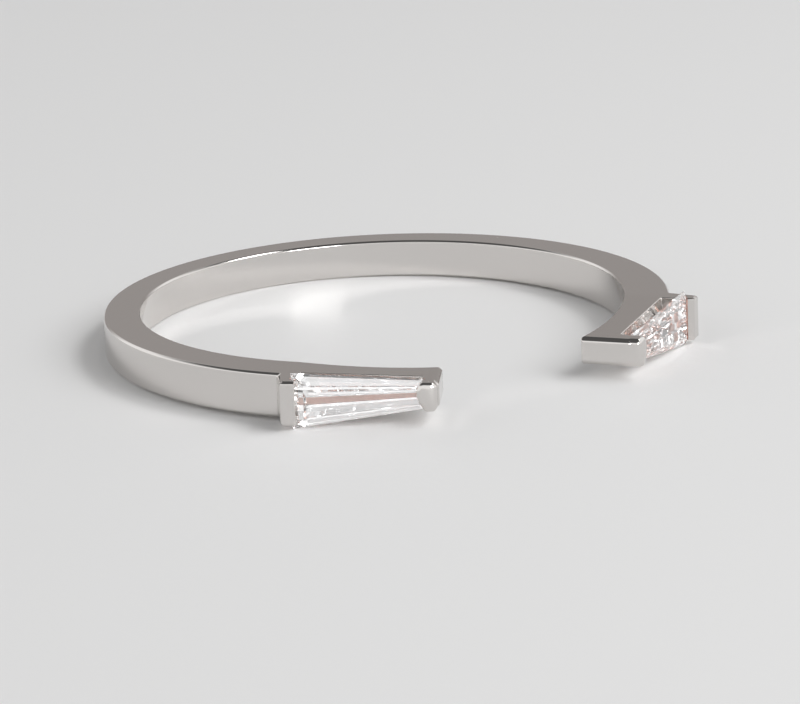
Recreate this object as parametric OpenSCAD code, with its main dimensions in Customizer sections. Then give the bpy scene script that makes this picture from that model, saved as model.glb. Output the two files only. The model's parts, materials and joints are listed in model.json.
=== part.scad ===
/* [Finger hole] */
// Inside diameter of the ring
hole_d = 16.5; // [14:0.1:22]
// Bevel along both edges of the finger hole
hole_bevel = 0.06; // [0.02:0.01:0.12]

/* [Band] */
// Width of the band along the finger, at the bars
band_w_front = 1.5; // [1.3:0.05:1.7]
// Width of the band along the finger, at the back
band_w_back = 1.25; // [1:0.05:1.3]
// Thickness of the band at the bars
band_t_front = 1.55; // [1.3:0.05:1.7]
// Thickness of the band at the back
band_t_back = 1.1; // [0.8:0.05:1.3]
// Bevel along both outer edges of the band
band_bevel = 0.08; // [0.02:0.01:0.15]

/* [Settings] */
// Angle at the ring's centre from the middle of the gap to the middle of a setting
setting_angle = 37.8; // [34:0.2:54]
// Thickness of the bar at its outer face
bar_t = 0.48; // [0.35:0.01:0.7]
// Height of the bar's outer face above the girdle of the stone
bar_rise = 0.43; // [0.3:0.01:0.6]
// Reach of the bar's outer face over the stone's wide end
bar_lap = 0.14; // [0.08:0.01:0.2]
// Lean of the bar's back face towards the stone
bar_lean = 10; // [0:1:20]
// Bevel along the bar's two short outer edges
bar_bevel = 0.1; // [0.04:0.01:0.15]
// Radius of the bar's two corners on the side of the band
bar_corner_r = 0.15; // [0.05:0.01:0.25]
// Reach of the bar's lip beyond its outer face, over the stone's crown
lip_reach = 0.1; // [0.04:0.01:0.16]
// Height of the slope on the lip
lip_h = 0.31; // [0.15:0.01:0.4]
// Depth that the stone's keel sits in the ledge
ledge_grip = 0.06; // [0.02:0.01:0.12]
// Length of metal beyond the stone's narrow end
tip_l = 0.5; // [0.35:0.01:0.8]
// Width of the metal along the finger, at the tip
tip_w = 0.92; // [0.7:0.01:1.2]
// Bevel along the tip's upper and lower edges
tip_bevel = 0.12; // [0.04:0.01:0.16]
// Height of the end block above the girdle at the stone's narrow end
block_rise = 0.12; // [0.04:0.01:0.2]
// Height of the prong above the girdle at the stone's narrow end
prong_rise = 0.53; // [0.4:0.01:0.7]
// Reach of the prong over the stone's narrow end
prong_lap = 0.08; // [0.04:0.01:0.14]
// Distance of the prong's end back from the tip
prong_setback = 0.05; // [0.02:0.01:0.1]
// Radius of the prong's outer corners
prong_corner_r = 0.15; // [0.05:0.01:0.16]

/* [Stones] */
// Length of a stone
stone_l = 4.28; // [3.6:0.02:5]
// Width of a stone's wide end
stone_w_wide = 1.84; // [1.6:0.02:2.2]
// Width of a stone's narrow end
stone_w_narrow = 0.98; // [0.8:0.02:1.3]
// Height of the girdle above the wall of the finger hole, at the stone's middle
stone_stand = 1.5; // [1.3:0.02:1.8]
// Slope of the stone down towards the gap
stone_tilt = 8.4; // [4:0.2:10]
// Height of the crown at the wide end
crown_h = 0.2; // [0.12:0.01:0.3]
// Thickness of the girdle at the wide end
girdle_t = 0.05; // [0.02:0.01:0.1]
// Depth of the pavilion at the wide end
pavilion_h = 0.76; // [0.6:0.01:0.85]
// Length of the crown's end facet at the wide end
crown_end = 0.46; // [0.3:0.01:0.6]
// Length of the pavilion's end facets at the wide end
pavilion_end = 0.6; // [0.45:0.01:0.8]

/* [Fit] */
// Space between a stone and the metal round it
stone_gap = 0.03; // [0.02:0.01:0.05]

/* [Hidden] */
$fn = 96;

// The ring's axis is Z, its middle plane is z = 0 and the gap faces -Y.
hole_r = hole_d / 2;
// Cutting solids run past what they cut by this much, and some by more than the whole ring
over = 2;
reach = 3 * hole_d;

// A setting has its own frame: x along the setting towards the gap, y out from the ring's axis.
stone_half = stone_l / 2 * cos(stone_tilt);
function girdle_y(x) = hole_r + stone_stand - x * tan(stone_tilt);
function taper(x) = (stone_w_wide + stone_w_narrow - 2 * x / stone_l
    * (stone_w_wide - stone_w_narrow)) / 2 / stone_w_wide;
function ledge_y(x) = girdle_y(x) - pavilion_h * taper(x) + ledge_grip;
inner_y = hole_r - over;
bar_x = -stone_half + bar_lap;
bar_back_x = bar_x - bar_t;
bar_mid_x = (bar_x + bar_back_x) / 2;
bar_y = girdle_y(-stone_half) + bar_rise;
tip_x = stone_half + tip_l;
block_y = girdle_y(stone_half) + block_rise;
prong_x = stone_half - prong_lap;
prong_l = tip_x - prong_setback - prong_x;
prong_y = girdle_y(stone_half) + prong_rise;

// The outside of the band is a circle whose centre lies nearer to the gap than the hole's
bar_angle = setting_angle + asin(-bar_mid_x / (hole_r + band_t_front / 2));
shift = (band_t_front - band_t_back) / (1 + cos(bar_angle));
outer_r = hole_r + band_t_back + shift;

// The band's upper and lower sides come together towards the back
front_y = -bar_mid_x * sin(setting_angle) - (hole_r + band_t_front) * cos(setting_angle);
side_slope = atan((band_w_front - band_w_back) / 2 / (hole_r + band_t_back - front_y));

// Rows of a stone's cut, from the table down to the keel: share of the girdle's width, height
// above the girdle's lower edge, and distance in from the wide end
cut_width = 0;
cut_height = 1;
cut_inset = 2;
CUT = [
    [0.52, girdle_t + crown_h, crown_end],
    [1.00, girdle_t, 0],
    [1.00, 0, 0],
    [0.62, -0.55 * pavilion_h, 0.45 * pavilion_end],
    [0.12, -pavilion_h, pavilion_end],
];

// Moves what is drawn in a setting's frame to the right end of the band, to the left or to both
module on_right() {
    rotate([0, 0, 180 + setting_angle]) children();
}
module on_left() {
    mirror([1, 0, 0]) on_right() children();
}
module on_both() {
    on_right() children();
    on_left() children();
}

// Moves what is drawn at z = 0 onto the band's upper side, or for side = 1 onto the lower one
module on_side(side) {
    mirror([0, 0, side])
        translate([0, front_y, band_w_front / 2]) rotate([-side_slope, 0, 0])
            translate([0, -front_y / cos(side_slope), 0]) children();
}

// Extrusions of an outline through the whole ring: of x and y along z, of x and z along y,
// and of z and y along x
module along_z() {
    linear_extrude(height = reach, center = true) children();
}
module along_y() {
    rotate([90, 0, 0]) along_z() children();
}
module along_x() {
    rotate([0, 90, 0]) along_z() children();
}

// One corner of a stone. Widths and heights shrink with the stone's own taper, so that every
// facet is flat. The stone is larger by grow on each side.
function corner(row, end, side, grow) =
    let (inset = CUT[row][cut_inset] * (end < 0 ? 1 : stone_w_narrow / stone_w_wide),
         x = end * (stone_l / 2 + grow - inset),
         up = CUT[row][cut_height])
    [x,
     up * taper(x) + (up > 0 ? grow : -grow),
     side * (CUT[row][cut_width] * stone_w_wide / 2 * taper(x) + grow)];

module tapered_baguette(grow = 0) {
    rows = len(CUT);
    points = [for (row = [0 : rows - 1]) each [
        corner(row, -1, 1, grow), corner(row, 1, 1, grow),
        corner(row, 1, -1, grow), corner(row, -1, -1, grow)]];
    facets = [for (row = [0 : rows - 2], k = [0 : 3])
        [4 * row + k, 4 * row + (k + 1) % 4, 4 * row + 4 + (k + 1) % 4, 4 * row + 4 + k]];
    keel = 4 * (rows - 1);
    translate([0, girdle_y(0), 0]) rotate([0, 0, -stone_tilt])
        polyhedron(points, concat([[3, 2, 1, 0]], facets, [[keel, keel + 1, keel + 2, keel + 3]]));
}

module shank_side() {
    depth = 2 * band_w_front;
    translate([0, -shift, -depth])
        cylinder(r1 = outer_r - band_bevel + depth, r2 = outer_r - band_bevel, h = depth);
}

module shank() {
    difference() {
        intersection() {
            translate([0, -shift, 0]) cylinder(r = outer_r, h = band_w_front + over, center = true);
            on_side(0) shank_side();
            on_side(1) shank_side();
        }
        on_both() translate([bar_mid_x, hole_r / 2, -reach / 2]) cube(reach);
    }
}

// The bar seen along y, from its back face on
module bar_plan() {
    straight_w = band_w_front - 2 * bar_corner_r;
    translate([0, -straight_w / 2]) square([reach, straight_w]);
    translate([bar_corner_r, -band_w_front / 2]) square([reach, band_w_front]);
    for (side = [-1, 1]) translate([bar_corner_r, side * straight_w / 2]) circle(r = bar_corner_r);
}

module bar() {
    half_w = band_w_front / 2;
    intersection() {
        translate([bar_back_x, bar_y, 0]) rotate([0, 0, -bar_lean]) along_y() bar_plan();
        along_z() polygon([
            [bar_back_x - over, inner_y], [bar_x + lip_reach, inner_y],
            [bar_x + lip_reach, bar_y - lip_h], [bar_x, bar_y], [bar_back_x - over, bar_y]]);
        along_x() polygon([
            [half_w, inner_y], [half_w, bar_y - bar_bevel], [half_w - bar_bevel, bar_y],
            [bar_bevel - half_w, bar_y], [-half_w, bar_y - bar_bevel], [-half_w, inner_y]]);
    }
}

// The prong seen along z, with its two outer corners rounded
module prong_profile() {
    r = prong_corner_r;
    translate([prong_x, inner_y]) square([prong_l, prong_y - r - inner_y]);
    translate([prong_x + r, inner_y]) square([prong_l - 2 * r, prong_y - inner_y]);
    for (x = [prong_x + r, prong_x + prong_l - r]) translate([x, prong_y - r]) circle(r = r);
}

// The ledge under the stone, the end block and the prong, narrowing towards the tip
module ledge() {
    slope = (band_w_front - tip_w) / 2 / (tip_x - bar_x);
    function half_w(x) = tip_w / 2 + (tip_x - x) * slope;
    edge = [[bar_mid_x, band_w_front / 2], [bar_x, band_w_front / 2],
        [tip_x - tip_bevel, half_w(tip_x - tip_bevel)], [tip_x, half_w(tip_x) - tip_bevel]];
    intersection() {
        along_y() polygon(concat(edge, [for (k = [3 : -1 : 0]) [edge[k].x, -edge[k].y]]));
        along_z() {
            polygon([[bar_mid_x, inner_y], [tip_x, inner_y], [tip_x, block_y],
                [prong_x, block_y], [prong_x, ledge_y(prong_x)], [bar_mid_x, ledge_y(bar_mid_x)]]);
            prong_profile();
        }
    }
}

module band() {
    color("silver") difference() {
        union() {
            shank();
            on_both() bar();
            on_both() ledge();
        }
        cylinder(r = hole_r, h = reach, center = true);
        for (side = [0, 1]) on_side(side) translate([0, 0, -over])
            cylinder(r1 = hole_r + hole_bevel - over, r2 = hole_r + hole_bevel + over, h = 2 * over);
        on_both() tapered_baguette(stone_gap);
    }
}

module left_stone() {
    color("azure") on_left() tapered_baguette();
}

module right_stone() {
    color("azure") on_right() tapered_baguette();
}

band();
left_stone();
right_stone();
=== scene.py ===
import json

import bmesh
import bpy
import numpy as np
from mathutils import Matrix, Vector


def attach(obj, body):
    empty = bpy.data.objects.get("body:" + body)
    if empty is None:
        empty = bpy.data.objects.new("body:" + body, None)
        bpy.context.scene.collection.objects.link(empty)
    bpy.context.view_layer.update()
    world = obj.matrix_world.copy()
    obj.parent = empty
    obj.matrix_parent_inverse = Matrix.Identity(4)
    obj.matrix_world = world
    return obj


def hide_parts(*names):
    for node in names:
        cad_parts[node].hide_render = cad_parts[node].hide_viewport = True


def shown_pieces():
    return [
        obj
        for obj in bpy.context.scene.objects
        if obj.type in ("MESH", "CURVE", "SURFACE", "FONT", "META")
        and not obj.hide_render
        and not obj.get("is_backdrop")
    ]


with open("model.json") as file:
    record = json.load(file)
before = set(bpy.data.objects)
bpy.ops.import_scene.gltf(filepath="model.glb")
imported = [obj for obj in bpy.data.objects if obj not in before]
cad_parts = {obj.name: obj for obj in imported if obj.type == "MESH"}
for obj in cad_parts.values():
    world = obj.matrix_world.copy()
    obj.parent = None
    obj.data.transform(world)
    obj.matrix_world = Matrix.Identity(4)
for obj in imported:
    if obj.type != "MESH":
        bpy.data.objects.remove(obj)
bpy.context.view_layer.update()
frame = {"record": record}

# Stones: two tapered baguettes, clear and colourless diamonds, step cut. Each lies in a seat on
# its end of the band, with its wide end under the lip of a bar and its narrow end under a folded
# prong. A setting has its own frame: x runs along it towards the gap and y out from the ring's axis.
MM = 0.001
HOLE_R = frame["record"]["mounts"][0]["dims"]["r_mm"] * MM
SETTING_ANGLE = np.radians(37.8)
STONE_L, STONE_WIDE, STONE_NARROW = 4.28 * MM, 1.84 * MM, 0.98 * MM
STONE_STAND = 1.50 * MM
STONE_TILT = np.radians(8.4)
STONE_HALF = STONE_L / 2 * np.cos(STONE_TILT)
GIRDLE_WIDE = HOLE_R + STONE_STAND + STONE_HALF * np.tan(STONE_TILT)
GIRDLE_NARROW = HOLE_R + STONE_STAND - STONE_HALF * np.tan(STONE_TILT)

# Rows of the cut, from the table down to the keel: share of the girdle's width, height above the
# girdle's lower edge and distance in from the wide end. The keel lies a little to the lower side.
CUT = np.array([
    [0.614, 0.289, 0.364],
    [0.772, 0.198, 0.164],
    [1.00, 0.05, 0.00],
    [1.00, 0.00, 0.00],
    [0.715, -0.231, 0.149],
    [0.430, -0.479, 0.308],
    [0.145, -0.699, 0.450],
]) * [1, MM, MM]
KEEL_SHIFT = -0.075 * MM


def on_right(points):
    """Points of a setting's frame, turned onto the ring's right side."""
    c, s = np.cos(SETTING_ANGLE), np.sin(SETTING_ANGLE)
    return points @ np.array([[-c, -s], [s, -c]])


def stone_mesh(side, grow):
    """A tapered step cut, for the right side (1) or the left (-1), larger by grow all round.
    Each row of the cut is four corners. Its half width and its height are the row's, times the
    stone's own width at that place over that of the wide end. Below the girdle it moves
    sideways by the keel's shift, times its depth over the keel's, and times the same width."""
    share, up, inset = CUT.T[..., None]
    end, flank = np.array([[-1, 1, 1, -1], [1, 1, -1, -1]])
    shorter = np.where(end < 0, 1, STONE_NARROW / STONE_WIDE)
    x = end * (STONE_L / 2 + grow - inset * shorter)
    taper = (STONE_WIDE + STONE_NARROW - 2 * x / STONE_L * (STONE_WIDE - STONE_NARROW)) / 2 / STONE_WIDE
    y = up * taper + np.where(up > 0, grow, -grow)
    off = KEEL_SHIFT * np.minimum(up, 0) / CUT[-1, 1]
    z = flank * (share * STONE_WIDE / 2 * taper + grow) + off * taper
    c, s = np.cos(STONE_TILT), np.sin(STONE_TILT)
    middle = (GIRDLE_WIDE + GIRDLE_NARROW) / 2
    plan = on_right(np.stack([c * x + s * y, c * y - s * x + middle], -1).reshape(-1, 2)) * [side, 1]
    first = np.arange(0, 4 * len(CUT) - 4, 4)[:, None, None]
    k = np.arange(4)[None, :, None]
    facets = (first + np.concatenate([k, k + 4, (k + 1) % 4 + 4, (k + 1) % 4], axis=2)).reshape(-1, 4)
    table, keel = np.array([[0, 1, 2, 3]]), np.array([[3, 2, 1, 0]]) + 4 * len(CUT) - 4
    faces = np.concatenate([table, facets, keel])
    mesh = bpy.data.meshes.new("stone")
    mesh.from_pydata(np.column_stack([plan, z.ravel()]), [], faces if side > 0 else faces[:, ::-1])
    return mesh


def put(name, data):
    """A new object at the origin that holds this data, in the scene."""
    thing = bpy.data.objects.new(name, data)
    bpy.context.scene.collection.objects.link(thing)
    return thing


def blank(name):
    """A new material with one shader: the material, its nodes, its links and the shader."""
    mat = bpy.data.materials.new(name)
    mat.use_nodes = True
    tree = mat.node_tree
    return mat, tree.nodes, tree.links, tree.nodes["Principled BSDF"]


def grain(nodes, links, scale, detail):
    """Noise of this scale over the piece's own coordinates: its outputs."""
    coords = nodes.new("ShaderNodeTexCoord")
    noise = nodes.new("ShaderNodeTexNoise")
    noise.inputs["Scale"].default_value = scale
    noise.inputs["Detail"].default_value = detail
    links.new(coords.outputs["Object"], noise.inputs["Vector"])
    return noise.outputs


def diamond_material():
    """Clear diamond: full transmission at diamond's refractive index, with faint graining
    inside, so that facets differ a little in tone."""
    mat, nodes, links, shader = blank("cut_diamond")
    shader.inputs["Roughness"].default_value = 0
    shader.inputs["IOR"].default_value = 2.417
    shader.inputs["Transmission Weight"].default_value = 1
    tint = nodes.new("ShaderNodeMapRange")
    tint.data_type = "FLOAT_VECTOR"
    tint.inputs[9].default_value = (0.97, 0.97, 0.97)
    tint.inputs[10].default_value = (1, 1, 1)
    links.new(grain(nodes, links, 700, 2)["Color"], tint.inputs[6])
    links.new(tint.outputs[1], shader.inputs["Base Color"])
    return mat


diamond = diamond_material()
for name, side in (("left_stone", -1), ("right_stone", 1)):
    stone = put(name + "_cut", stone_mesh(side, 0))
    stone.data.materials.append(diamond)
    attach(stone, "root")
    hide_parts(name)

# Band: the open shank and both settings are one casting of white gold, plated and polished all
# over but for the seats. Seen along the finger it has one outline. Its edges are bevelled, it grows
# thinner and narrower towards the back, and the stones' seats are cut into it.
BACK_T, FRONT_T = 1.10 * MM, 1.55 * MM
BACK_W, FRONT_W, TIP_W = 1.25 * MM, 1.50 * MM, 0.92 * MM
SEAT_GAP = 0.03 * MM
BAR_X, BAR_Y = -STONE_HALF + 0.14 * MM, GIRDLE_WIDE + 0.43 * MM
BAR_BACK_X = BAR_X - 0.48 * MM
BAR_LEAN = np.radians(10)
LIP_X, LIP_Y = BAR_X + 0.10 * MM, BAR_Y - 0.31 * MM
LEDGE_WIDE, LEDGE_NARROW = GIRDLE_WIDE - 0.70 * MM, GIRDLE_NARROW - 0.345 * MM
PRONG_X, PRONG_Y = STONE_HALF - 0.08 * MM, GIRDLE_NARROW + 0.53 * MM
BLOCK_Y = GIRDLE_NARROW + 0.12 * MM
TIP_X = STONE_HALF + 0.50 * MM
PRONG_END_X = TIP_X - 0.05 * MM
STEP_H = 0.03 * MM

# A prong's hand-made shape: how much its top is domed and slopes, how far its tab reaches over
# the stone and leans to the upper side, how far its flank draws back, and over what height and
# length all of that sets in
DOME, SLOPE = 0.03 * MM, 0.06 * MM
TAB, TAB_LEAN = 0.30 * MM, 0.4
DRAW_BACK = 0.06 * MM
SET_IN = 0.10 * MM

# The band's outside is a circle round a centre that lies nearer to the gap than the hole's
BAR_MID_X = (BAR_X + BAR_BACK_X) / 2
BAR_ANGLE = SETTING_ANGLE + np.arcsin(-BAR_MID_X / (HOLE_R + FRONT_T / 2))
SHIFT = (FRONT_T - BACK_T) / (1 + np.cos(BAR_ANGLE))
OUTER_R = HOLE_R + BACK_T + SHIFT
FRONT_Y = -BAR_MID_X * np.sin(SETTING_ANGLE) - (HOLE_R + FRONT_T) * np.cos(SETTING_ANGLE)

BAND_EDGE, HOLE_EDGE = 0.07 * MM, 0.06 * MM
SMALLEST_R = 0.004 * MM
ARC_POINTS = 8
SHANK_STEP = np.radians(0.75)
SHANK_CLEAR = 0.02
WALL_LEVELS = np.linspace(-0.8, 0.8, 5)
WIDTH_BEND = 0.12 * MM
SLIVER = 1e-8
# Across an edge, from the wall to the flat side, in shares of the edge's size inwards from the
# wall: a flat bevel whose own two edges are softened, and a round. Read backwards, the shares
# are down from the side. The first and last rows keep the softening close to the edge.
BEVEL = np.array([0, 0, 0.15, 0.85, 1.15, 1.4])
ROUND = np.array([0, 0.03, 0.18, 0.45, 0.82, 1.1])


def unit(angle):
    """Unit vectors (cos a, sin a) at these angles."""
    return np.stack([np.cos(angle), np.sin(angle)], -1)


def half_width(points):
    """Half the metal's width along the finger. It falls evenly from the bars to the back of the
    band, and, over a short smooth bend at the bar, evenly from there to the tip."""
    c, s = np.cos(SETTING_ANGLE), np.sin(SETTING_ANGLE)
    along = -np.abs(points[..., 0]) * c - points[..., 1] * s - BAR_X
    past = WIDTH_BEND * np.logaddexp(0, along / WIDTH_BEND)
    back = np.maximum(points[..., 1] - FRONT_Y, 0) / (HOLE_R + BACK_T - FRONT_Y)
    front = past / (TIP_X - BAR_X)
    return (FRONT_W - (FRONT_W - BACK_W) * back - (FRONT_W - TIP_W) * front) / 2


def shank_end():
    """Where the bar's leaning back face meets the band's outer circle, in the setting's frame:
    the nearer root of |p + s d - centre| = OUTER_R down the face."""
    centre = SHIFT * np.array([np.sin(SETTING_ANGLE), np.cos(SETTING_ANGLE)])
    start = np.array([BAR_BACK_X, BAR_Y]) - centre
    down = -np.array([np.sin(BAR_LEAN), np.cos(BAR_LEAN)])
    half = start @ down
    return centre, centre + start + down * (-half - np.sqrt(half**2 - start @ start + OUTER_R**2))


OUTER_CENTRE, BAR_BASE = shank_end()

# Corners of a setting's outline from the band to the tip: x, y, radius of the corner, where on
# the hole's wall the section through it ends, and for the edge that follows, its size, how
# many times it is cut and how round it is
CORNERS = np.array([
    [*BAR_BASE, 0.05 * MM, -2.26 * MM, 0.14 * MM, 3, 0],
    [BAR_BACK_X, BAR_Y, 0.05 * MM, -2.16 * MM, 0.08 * MM, 2, 0],
    [BAR_X, BAR_Y, 0.03 * MM, -2.08 * MM, 0.03 * MM, 1, 0],
    [LIP_X, LIP_Y, 0.03 * MM, -2.01 * MM, 0.02 * MM, 2, 0],
    [LIP_X, LEDGE_WIDE, 0.03 * MM, -1.93 * MM, 0.015 * MM, 40, 0],
    [PRONG_X, LEDGE_NARROW, 0.03 * MM, 2.08 * MM, 0.08 * MM, 6, 1],
    [PRONG_X, PRONG_Y, 0.18 * MM, 2.20 * MM, 0.12 * MM, 1, 1],
    [PRONG_END_X, PRONG_Y, 0.20 * MM, 2.30 * MM, 0.12 * MM, 1, 0],
    [PRONG_END_X, BLOCK_Y + STEP_H, 0.02 * MM, 2.33 * MM, 0.12 * MM, 0, 0],
    [TIP_X, BLOCK_Y - STEP_H, 0.02 * MM, 2.36 * MM, 0.12 * MM, 5, 0],
    [TIP_X, np.sqrt(HOLE_R**2 - TIP_X**2), 0.08 * MM, 2.40 * MM, HOLE_EDGE, 0, 0],
])


def edge_rows(size, roundness):
    """How far each row of an edge lies inwards from its wall: size times a mix of both shapes."""
    shape = BEVEL[:, None] + (ROUND - BEVEL)[:, None] * roundness
    return size * shape


def right_outline():
    """The right half of the metal's outline at each row of its edges, from the back of the band
    round the outside to the tip and along the hole's wall to the back again, with each point's
    depth below the flat side. At each row an edge lies that row's distance inside the full
    outline. A corner is an arc between its two moved edges: its centre lies on both lines,
    moved inwards again by the arc's radius."""
    corner = CORNERS[:, :2]
    radius, foot, size, cuts, roundness = CORNERS[:, 2:].T
    runs = np.diff(corner, axis=0)
    spoke = BAR_BASE - OUTER_CENTRE
    normals = np.concatenate([spoke[None], runs[:, ::-1] * [-1, 1], -corner[-1:]])
    normals /= np.linalg.norm(normals, axis=1, keepdims=True)
    rows = edge_rows(np.append(BAND_EDGE, size), np.append(0, roundness))
    n1, n2, in1, in2 = normals[:-1], normals[1:], rows[:, :-1], rows[:, 1:]
    det = n1[:, 0] * n2[:, 1] - n1[:, 1] * n2[:, 0]
    turn = np.arctan2(det, (n1 * n2).sum(1))
    bulging = np.maximum(radius - np.maximum(in1, in2), SMALLEST_R)
    reach = np.where(turn < 0, bulging, -(radius + (in1 + in2) / 2))
    b1 = (n1 * corner).sum(1) - in1 - reach
    b2 = (n2 * corner).sum(1) - in2 - reach
    centre = np.stack([n2[:, 1] * b1 - n1[:, 1] * b2, n1[:, 0] * b2 - n2[:, 0] * b1], -1) / det[:, None]
    share = np.linspace(0, 1, ARC_POINTS)
    swing = np.arctan2(n1[:, 1], n1[:, 0])[:, None] + turn[:, None] * share
    arcs = centre[:, :, None] + reach[:, :, None, None] * unit(swing)
    arc_depth = (in1[..., None] + (in2 - in1)[..., None] * share)[::-1]

    start = np.pi / 2 - SHANK_STEP / 2
    stop = np.arctan2(*on_right(spoke)[::-1]) + SHANK_CLEAR
    spin = np.linspace(start, stop, int((start - stop) / SHANK_STEP))
    shank = (OUTER_R - rows[:, :1])[..., None] * unit(spin) - [0, SHIFT]
    path, depth = [shank], [np.repeat(rows[::-1, :1], spin.size, axis=1)]
    section = np.arctan2(shank[0, :, 1], shank[0, :, 0])
    foot_angle = SETTING_ANGLE - np.arcsin(foot / HOLE_R) - np.pi / 2
    marks, count = [spin.size - 1], spin.size
    for k, extra in enumerate(cuts.astype(int)):
        path.append(on_right(arcs[:, k]))
        depth.append(arc_depth[:, k])
        marks.append(count + (ARC_POINTS - 1) / 2)
        count += ARC_POINTS
        if extra:
            part = (np.arange(extra) + 1)[:, None] / (extra + 1)
            path.append(on_right(arcs[:, k, -1:] + (arcs[:, k + 1, :1] - arcs[:, k, -1:]) * part))
            depth.append(np.repeat(rows[::-1, k + 1, None], extra, axis=1))
            count += extra
    outside = count - ARC_POINTS
    rest = np.interp(np.arange(spin.size, outside), marks, np.append(section[-1], foot_angle))
    wall = np.append(section, rest)[::-1]
    path.append((HOLE_R + rows[:, -1:])[..., None] * unit(wall))
    depth.append(np.repeat(rows[::-1, -1:], wall.size, axis=1))
    return np.concatenate(path, axis=1), np.concatenate(depth, axis=1)


def folded(points, half):
    """The prongs, shaped by hand: their tops fall by a square and a slope across the band, and
    towards the stone they reach over it in a tab, widest above mid width. Under the tab their
    flank draws back evenly towards the lower side."""
    c, s = np.cos(SETTING_ANGLE), np.sin(SETTING_ANGLE)
    side = np.where(points[..., 0] < 0, -1, 1)
    place = np.stack([points[..., 0] * side, points[..., 1]], -1) @ np.array([[-c, s], [-s, -c]])
    across = points[..., 2] / half
    fold_y = BLOCK_Y + SET_IN
    prong = place[..., 0] > PRONG_X - SET_IN
    high = np.clip((place[..., 1] - fold_y) / (PRONG_Y - fold_y), 0, 1) * prong
    low = np.clip((place[..., 1] - GIRDLE_NARROW) / SET_IN, 0, 1) * prong
    along = np.clip((place[..., 0] - PRONG_X) / (PRONG_END_X - PRONG_X), 0, 1)
    tab = high * TAB * (1 - across**2) * (1 + TAB_LEAN * across) - low * DRAW_BACK * (1 - across)
    fall = high * (DOME * across**2 + SLOPE * along * across)
    moved = place - np.stack([(1 - along) * tab, fall], -1)
    back = on_right(moved) * np.stack([side, np.ones_like(side)], -1)
    return np.concatenate([back, points[..., 2:]], -1)


def band_mesh():
    """The outline of both halves, closed, carried through the rows: from the lower side's rim
    round its edge, up the wall and over the upper edge to that side's rim. Each side is then
    closed by strips between the outside and the hole."""
    right, depth = right_outline()
    count = right.shape[1]
    plan = np.concatenate([right, right[:, ::-1] * [-1, 1]], axis=1)
    depth = np.concatenate([depth, depth[:, ::-1]], axis=1)
    half = half_width(plan)
    upper = np.concatenate([plan, (half - depth)[..., None]], -1)
    level = WALL_LEVELS[:, None, None]
    wall = upper[:1] * np.concatenate([level * 0 + 1, level * 0 + 1, level], -1)
    rows = np.concatenate([(upper * [1, 1, -1])[::-1], wall, upper])
    rows = folded(rows, np.concatenate([half[::-1], half[[0] * len(level)], half]))
    n = 2 * count
    here = np.arange(n)
    ahead = np.roll(here, -1)
    start = np.arange(len(rows) - 1)[:, None] * n
    around = np.stack([start + here, start + n + here, start + n + ahead, start + ahead], -1)
    step = np.arange(count // 2 - 1)
    right_strip = np.stack([step, step + 1, count - 2 - step, count - 1 - step], -1)
    left_strip = (n - 1 - right_strip)[:, ::-1]
    back_strip = np.array([[n - 1, 0, count - 1, count]])
    strips = np.concatenate([right_strip, left_strip, back_strip])
    top = strips[:, ::-1] + (len(rows) - 1) * n
    faces = np.concatenate([around.reshape(-1, 4), strips, top])
    mesh = bpy.data.meshes.new("band_metal")
    mesh.from_pydata(rows.reshape(-1, 3), [], faces)
    return mesh


def bump(nodes, links, shader, height, strength, distance):
    """The shader's normal, tilted by the slope of this height."""
    tilt = nodes.new("ShaderNodeBump")
    tilt.inputs["Strength"].default_value = strength
    tilt.inputs["Distance"].default_value = distance
    links.new(height, tilt.inputs["Height"])
    links.new(tilt.outputs["Normal"], shader.inputs["Normal"])


def blend(nodes, links, share):
    """A mix of two colours by this share. Its sockets 6 and 7 are the colours and 2 the result."""
    mix = nodes.new("ShaderNodeMix")
    mix.data_type = "RGBA"
    links.new(share, mix.inputs["Factor"])
    return mix


def metal_material():
    """Polished and plated white gold: a mirror with faint waves from polishing by hand, whose
    sharpness changes a little from place to place."""
    mat, nodes, links, shader = blank("polished_white_gold")
    shader.inputs["Base Color"].default_value = (0.69, 0.665, 0.645, 1)
    shader.inputs["Metallic"].default_value = 1
    polish = nodes.new("ShaderNodeMapRange")
    polish.inputs["To Min"].default_value = 0.07
    polish.inputs["To Max"].default_value = 0.15
    links.new(grain(nodes, links, 900, 4)["Fac"], polish.inputs["Value"])
    links.new(polish.outputs["Result"], shader.inputs["Roughness"])
    waves = grain(nodes, links, 450, 2)["Fac"]
    bump(nodes, links, shader, waves, strength=0.05, distance=0.04 * MM)
    return mat


def seat_material():
    """The same metal inside the seats, where no plating reaches: rosy and only brushed."""
    mat, nodes, links, shader = blank("unplated_seat")
    shader.inputs["Metallic"].default_value = 1
    shader.inputs["Roughness"].default_value = 0.3
    tones = blend(nodes, links, grain(nodes, links, 2500, 3)["Fac"])
    tones.inputs[6].default_value = (0.54, 0.33, 0.27, 1)
    tones.inputs[7].default_value = (0.68, 0.43, 0.36, 1)
    links.new(tones.outputs[2], shader.inputs["Base Color"])
    return mat


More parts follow.
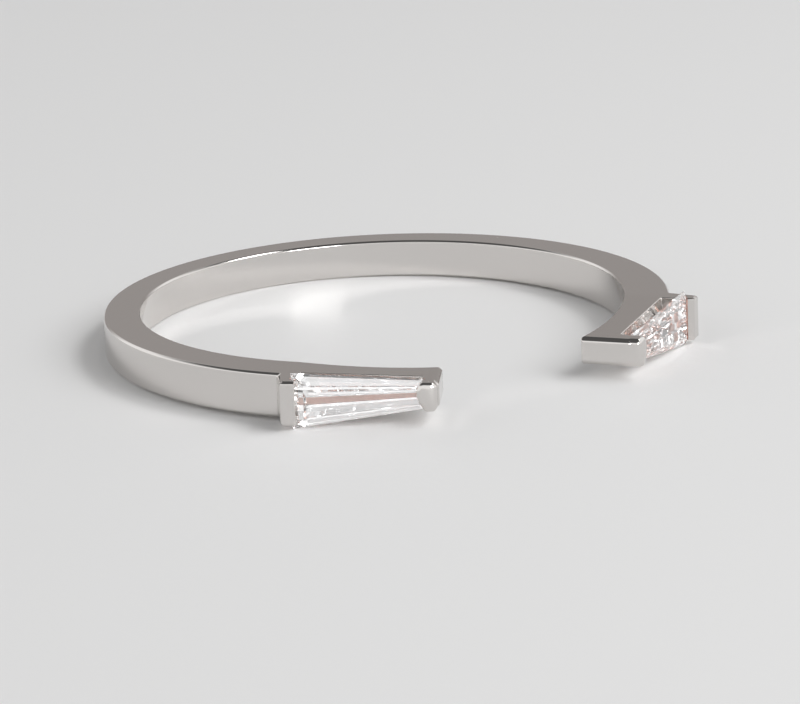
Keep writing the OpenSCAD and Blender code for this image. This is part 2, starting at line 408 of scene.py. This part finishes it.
metals = [metal_material(), seat_material()]
band = put("band_metal", band_mesh())
for metal in metals:
    band.data.materials.append(metal)
cutters = []
for side in (1, -1):
    seat = stone_mesh(side, SEAT_GAP)
    for metal in metals:
        seat.materials.append(metal)
    seat.polygons.foreach_set("material_index", np.ones(len(seat.polygons), np.int32))
    cutters.append(put("seat", seat))
    cut = band.modifiers.new("seat", "BOOLEAN")
    cut.object = cutters[-1]
    cut.solver = "EXACT"
solid = bpy.data.meshes.new_from_object(band.evaluated_get(bpy.context.evaluated_depsgraph_get()))
band.modifiers.clear()
band.data = solid
for cutter in cutters:
    bpy.data.objects.remove(cutter)
slivers = bmesh.new()
slivers.from_mesh(solid)
bmesh.ops.dissolve_degenerate(slivers, dist=SLIVER, edges=slivers.edges)
slivers.to_mesh(solid)
slivers.free()
solid.polygons.foreach_set("use_smooth", np.ones(len(solid.polygons), bool))
solid.set_sharp_from_angle(angle=np.radians(35))
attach(band, "root")
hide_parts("band")

# Floor: a plain pale sheet of card. The ring lies on it on its side, on the stones' lower
# corners and the back of the band, so that in the ring's frame the card is tilted a degree.
# The two lines of contact are given as y and z.
FLOOR_FRONT = (-6.3 * MM, -0.92 * MM)
FLOOR_BACK = (9.3 * MM, -0.625 * MM)
FLOOR_HALF = 1.5
FLOOR_CLEAR = 0.004 * MM


def floor_mesh():
    """A large flat square through the two lines of contact."""
    slope = (FLOOR_BACK[1] - FLOOR_FRONT[1]) / (FLOOR_BACK[0] - FLOOR_FRONT[0])
    corner = np.array([[-1, -1], [1, -1], [1, 1], [-1, 1]]) * FLOOR_HALF
    height = FLOOR_FRONT[1] + (corner[:, 1] - FLOOR_FRONT[0]) * slope
    mesh = bpy.data.meshes.new("floor")
    mesh.from_pydata(np.column_stack([corner, height - FLOOR_CLEAR]), [], [[0, 1, 2, 3]])
    return mesh


def card_material():
    """White card with a very fine tooth."""
    mat, nodes, links, shader = blank("card")
    shader.inputs["Base Color"].default_value = (0.8, 0.8, 0.8, 1)
    shader.inputs["Roughness"].default_value = 0.6
    shader.inputs["Specular IOR Level"].default_value = 0.2
    tooth = grain(nodes, links, 3000, 3)["Fac"]
    bump(nodes, links, shader, tooth, strength=0.1, distance=0.05 * MM)
    return mat


floor = put("floor", floor_mesh())
floor.data.materials.append(card_material())
floor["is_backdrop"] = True

# Light: a tent with a grey back wall, white front and sides and an open, dark top. A small
# panel high on the right throws the soft shadows. A larger one, which the ring and the stones
# don't reflect, lights the card.
BACK_WALL = (0.375, 0.355, 0.345, 1)
FRONT_WALL = (1.1, 1.1, 1.1, 1)
TENT_TOP = (0.1, 0.1, 0.1, 1)
BACK_WAY = (0.54, 0.84, 0)
BACK_START, BACK_FULL = 0.7, 0.88
TOP_START, TOP_FULL = 0.55, 0.75


def ramp(nodes, links, value, start, full):
    """A share that is 0 up to start and rises evenly to 1 at full."""
    rise = nodes.new("ShaderNodeMapRange")
    rise.inputs["From Min"].default_value = start
    rise.inputs["From Max"].default_value = full
    links.new(value, rise.inputs["Value"])
    return rise.outputs["Result"]


def tent_world():
    """Light from all round by direction: its part along the way to the back wall picks between
    the front and the back, and its height between the walls and the top."""
    world = bpy.data.worlds.new("tent")
    world.use_nodes = True
    nodes, links = world.node_tree.nodes, world.node_tree.links
    way = nodes.new("ShaderNodeTexCoord").outputs["Generated"]
    backwards = nodes.new("ShaderNodeVectorMath")
    backwards.operation = "DOT_PRODUCT"
    backwards.inputs[1].default_value = BACK_WAY
    links.new(way, backwards.inputs[0])
    split = nodes.new("ShaderNodeSeparateXYZ")
    links.new(way, split.inputs["Vector"])
    walls = blend(nodes, links, ramp(nodes, links, backwards.outputs["Value"], BACK_START, BACK_FULL))
    walls.inputs[6].default_value = FRONT_WALL
    walls.inputs[7].default_value = BACK_WALL
    whole = blend(nodes, links, ramp(nodes, links, split.outputs["Z"], TOP_START, TOP_FULL))
    links.new(walls.outputs[2], whole.inputs[6])
    whole.inputs[7].default_value = TENT_TOP
    links.new(whole.outputs[2], nodes["Background"].inputs["Color"])
    return world


def softbox(name, place, size, power):
    """A square area light that faces the ring."""
    light = bpy.data.lights.new(name, "AREA")
    light.size = size
    light.energy = power
    lamp = put(name, light)
    lamp.location = place
    lamp.rotation_euler = (-Vector(place)).to_track_quat("-Z", "Y").to_euler()
    return lamp


bpy.context.scene.world = tent_world()
softbox("key", place=(0.19, -0.1, 0.3), size=0.1, power=0.23)
overhead = softbox("overhead", place=(0.12, -0.2, 0.2), size=0.2, power=0.46)
overhead.visible_glossy = False
overhead.visible_transmission = False

# A low panel in front lights the ring alone: it sparkles in the stones, and the inside of the
# band throws it down on the card. For that glow the paths of light are long and aren't blurred.
glint = softbox("glint", place=(0, -0.33, 0.085), size=0.15, power=0.55)
lit = bpy.data.collections.new("lit")
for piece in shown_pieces():
    lit.objects.link(piece)
glint.light_linking.receiver_collection = lit
bpy.context.scene.view_settings.view_transform = "Standard"
bpy.context.scene.cycles.max_bounces = 40
bpy.context.scene.cycles.glossy_bounces = 32
bpy.context.scene.cycles.transmission_bounces = 32
bpy.context.scene.cycles.blur_glossy = 0

# Camera: above the floor on the open side, a little to the left, with a long lens.
EYE = np.array([-86.60, -135.49, 43.06]) * MM
AIM = np.array([-0.454, -1.731, -0.745]) * MM
ROLL = np.radians(2.08)
LENS, SENSOR = 219.4, 36
NEAREST, FARTHEST = 0.001, 10


def camera_matrix():
    """The view's own axes as columns: right, up and back, turned by the roll about the view."""
    back = (EYE - AIM) / np.linalg.norm(EYE - AIM)
    right = np.cross([0, 0, 1], back)
    right /= np.linalg.norm(right)
    up = np.cross(back, right)
    c, s = np.cos(ROLL), np.sin(ROLL)
    place = np.eye(4)
    place[:3] = np.column_stack([c * right - s * up, s * right + c * up, back, EYE])
    return Matrix(place.tolist())


camera = put("camera", bpy.data.cameras.new("camera"))
camera.data.lens = LENS
camera.data.sensor_width = SENSOR
camera.data.clip_start = NEAREST
camera.data.clip_end = FARTHEST
camera.matrix_world = camera_matrix()
bpy.context.scene.camera = camera
